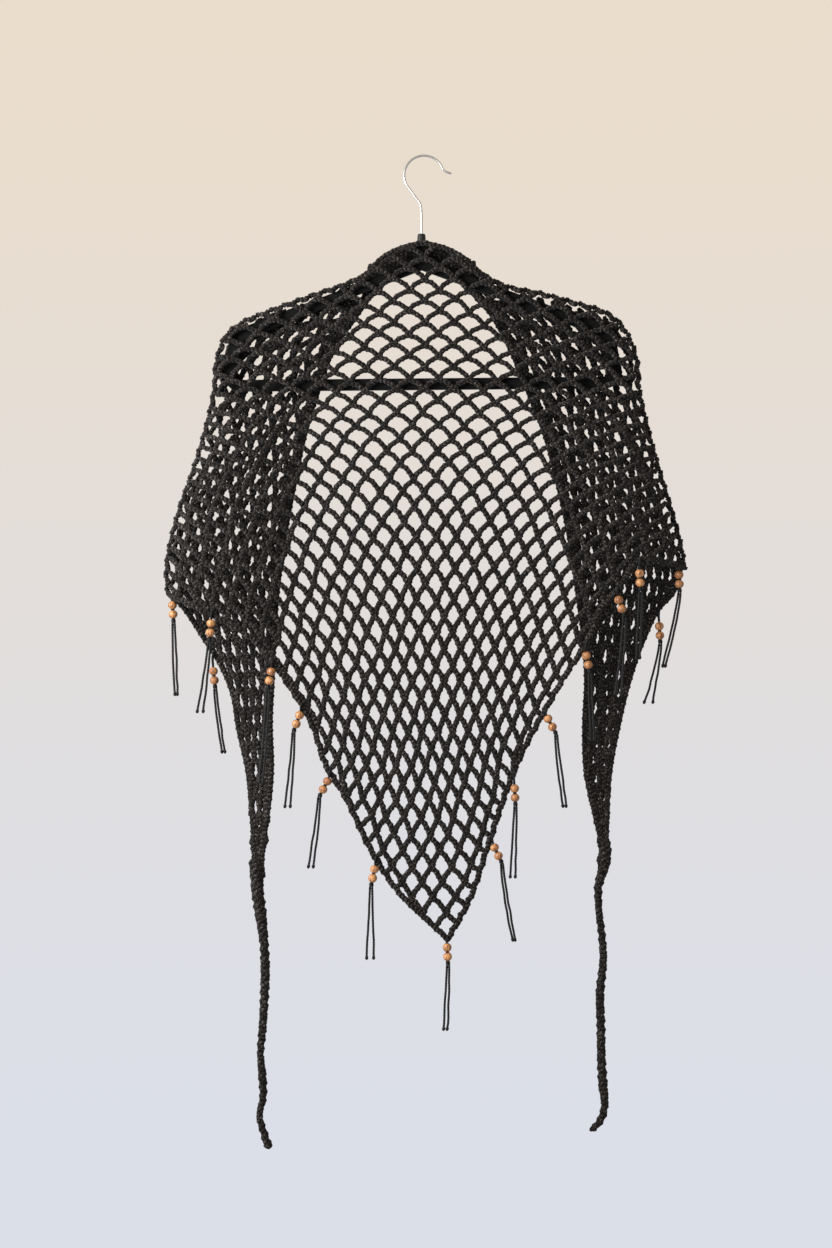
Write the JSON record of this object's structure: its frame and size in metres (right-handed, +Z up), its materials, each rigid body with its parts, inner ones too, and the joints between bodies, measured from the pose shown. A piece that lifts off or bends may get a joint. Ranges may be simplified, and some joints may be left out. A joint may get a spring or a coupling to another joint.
{
  "type": "crocheted mesh shawl on a hanger",
  "caption": "Triangular charcoal crocheted mesh shawl with beaded cord tassels and long ties, on a slim black flocked hanger.",
  "frame": {"origin": "inner crown of the hanger's hook, where a rail or peg carries it", "axes": "+Z up, -Y towards the viewer of the shawl's front, +X to that viewer's right"},
  "size_m": [0.5526, 0.0572, 1.0589],
  "materials": {
    "charcoal_yarn": "matte heathered crochet yarn",
    "black_flock": "matte flocking",
    "black_plastic": "satin",
    "chrome_wire": "polished",
    "turned_wood": "satin",
    "waxed_cord": "waxed, slightly shiny"
  },
  "bodies": {
    "root": {"body": "charcoal_yarn", "neck_roll": "charcoal_yarn", "left_fall": "charcoal_yarn", "right_fall": "charcoal_yarn", "left_tie": "charcoal_yarn", "right_tie": "charcoal_yarn", "hanger_frame": "black_flock", "hanger_ferrule": "black_plastic", "hanger_hook": "chrome_wire", "tassel_cord_01": "waxed_cord", "tassel_cord_02": "waxed_cord", "tassel_cord_03": "waxed_cord", "tassel_cord_04": "waxed_cord", "tassel_cord_05": "waxed_cord", "tassel_cord_06": "waxed_cord", "tassel_cord_07": "waxed_cord", "tassel_cord_08": "waxed_cord", "tassel_cord_09": "waxed_cord", "tassel_cord_10": "waxed_cord", "tassel_cord_11": "waxed_cord", "tassel_cord_12": "waxed_cord", "tassel_cord_13": "waxed_cord", "tassel_cord_14": "waxed_cord", "tassel_cord_15": "waxed_cord", "tassel_cord_16": "waxed_cord", "bead_01_upper": "turned_wood", "bead_01_lower": "turned_wood", "bead_02_upper": "turned_wood", "bead_02_lower": "turned_wood", "bead_03_upper": "turned_wood", "bead_03_lower": "turned_wood", "bead_04_upper": "turned_wood", "bead_04_lower": "turned_wood", "bead_05_upper": "turned_wood", "bead_05_lower": "turned_wood", "bead_06_upper": "turned_wood", "bead_06_lower": "turned_wood", "bead_07_upper": "turned_wood", "bead_07_lower": "turned_wood", "bead_08_upper": "turned_wood", "bead_08_lower": "turned_wood", "bead_09_upper": "turned_wood", "bead_09_lower": "turned_wood", "bead_10_upper": "turned_wood", "bead_10_lower": "turned_wood", "bead_11_upper": "turned_wood", "bead_11_lower": "turned_wood", "bead_12_upper": "turned_wood", "bead_12_lower": "turned_wood", "bead_13_upper": "turned_wood", "bead_13_lower": "turned_wood", "bead_14_upper": "turned_wood", "bead_14_lower": "turned_wood", "bead_15_upper": "turned_wood", "bead_15_lower": "turned_wood", "bead_16_upper": "turned_wood", "bead_16_lower": "turned_wood"}
  },
  "joints": []
}
